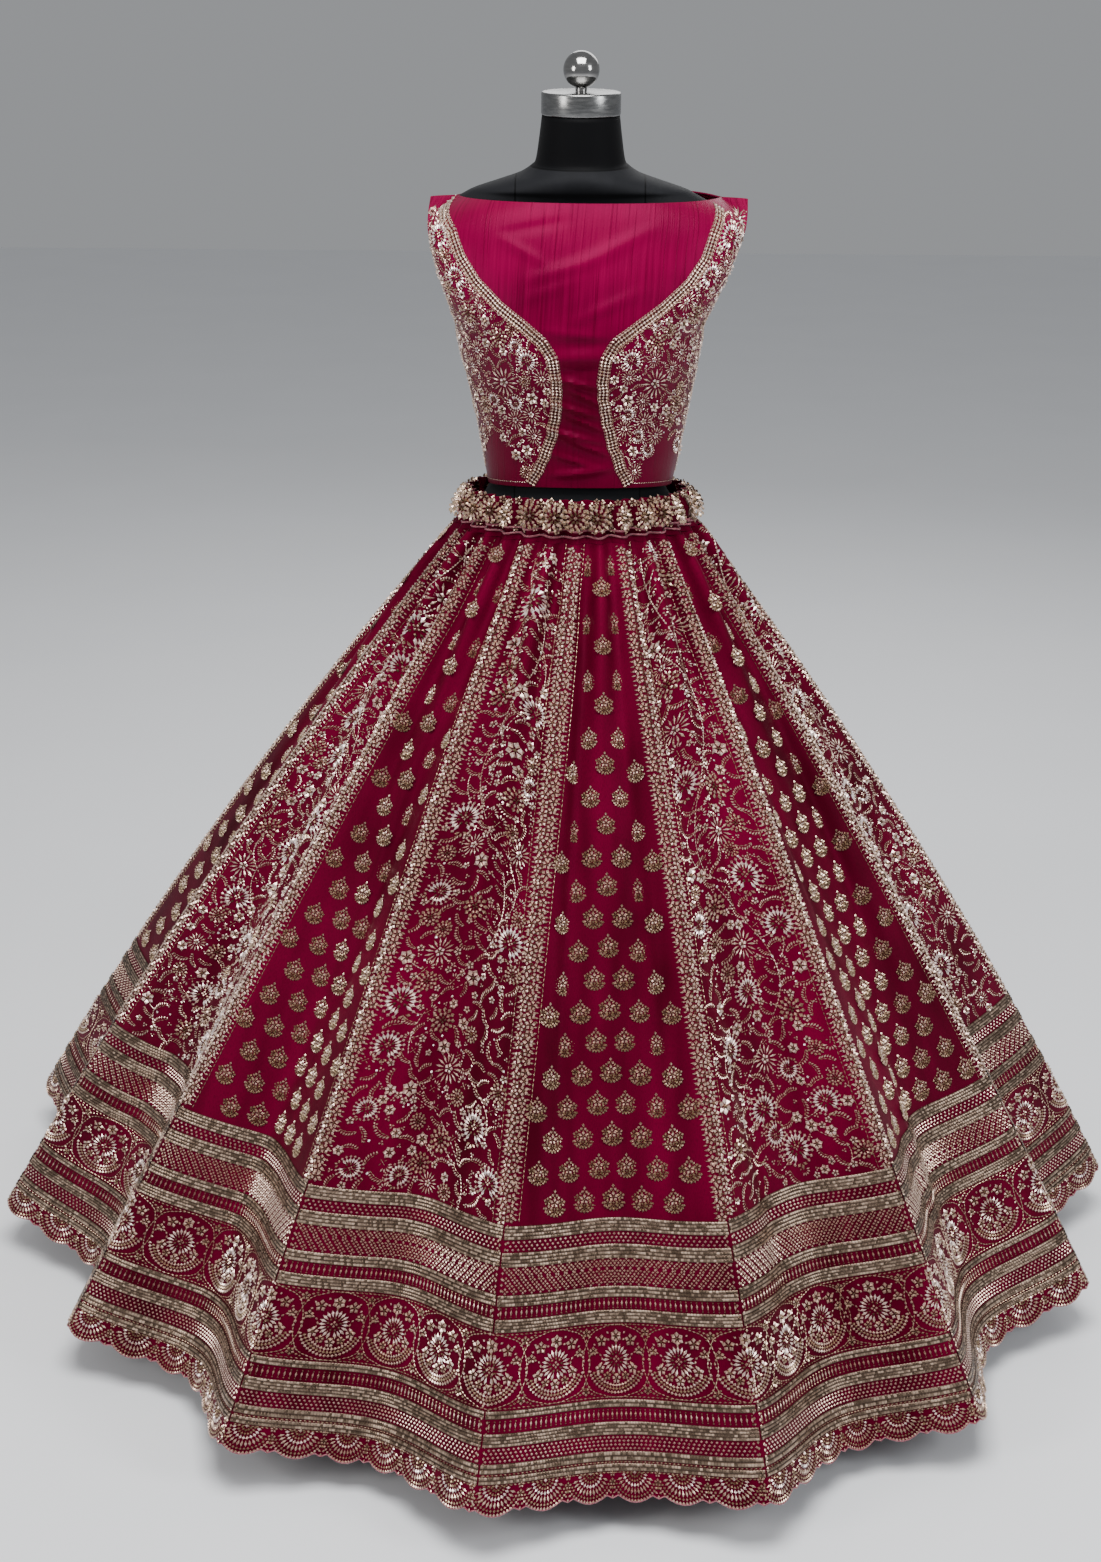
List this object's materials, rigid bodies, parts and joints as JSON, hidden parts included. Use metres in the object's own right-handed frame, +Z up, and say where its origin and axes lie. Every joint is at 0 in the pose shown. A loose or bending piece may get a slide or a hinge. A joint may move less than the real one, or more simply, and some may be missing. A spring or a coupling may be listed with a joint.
{
  "type": "lehenga choli on a dress form",
  "caption": "Gored, flared lehenga skirt with a gathered drawcord waist and a sleeveless boat-neck choli, worn on a limbless dress form with a round base",
  "frame": {"origin": "on the floor under the middle of the form's round base", "axes": "+Z up, the wearer's front faces -Y, +X is the side on the right of the picture"},
  "size_m": [1.5447, 1.5233, 1.5854],
  "materials": {
    "raw_silk": "raw silk with slubs",
    "embroidered_silk": "shot silk with bead and sequin embroidery",
    "satin_piping": "satin",
    "gold_beadwork": "close rows of small faceted beads",
    "black_jersey": "matte knit cover",
    "chrome": "polished",
    "black_base": "satin black"
  },
  "bodies": {
    "root": {"choli_back": "raw_silk", "choli_border_left": "gold_beadwork", "choli_border_right": "gold_beadwork", "choli_front": "raw_silk", "form_ball": "chrome", "form_base": "black_base", "form_neck_cap": "chrome", "form_pole": "chrome", "form_torso": "black_jersey", "skirt_panel_01": "embroidered_silk", "skirt_panel_02": "embroidered_silk", "skirt_panel_03": "embroidered_silk", "skirt_panel_04": "embroidered_silk", "skirt_panel_05": "embroidered_silk", "skirt_panel_06": "embroidered_silk", "skirt_panel_07": "embroidered_silk", "skirt_panel_08": "embroidered_silk", "skirt_panel_09": "embroidered_silk", "skirt_panel_10": "embroidered_silk", "skirt_panel_11": "embroidered_silk", "skirt_panel_12": "embroidered_silk", "skirt_panel_13": "embroidered_silk", "skirt_panel_14": "embroidered_silk", "skirt_waist_casing": "embroidered_silk", "skirt_waist_piping": "satin_piping"}
  },
  "joints": []
}
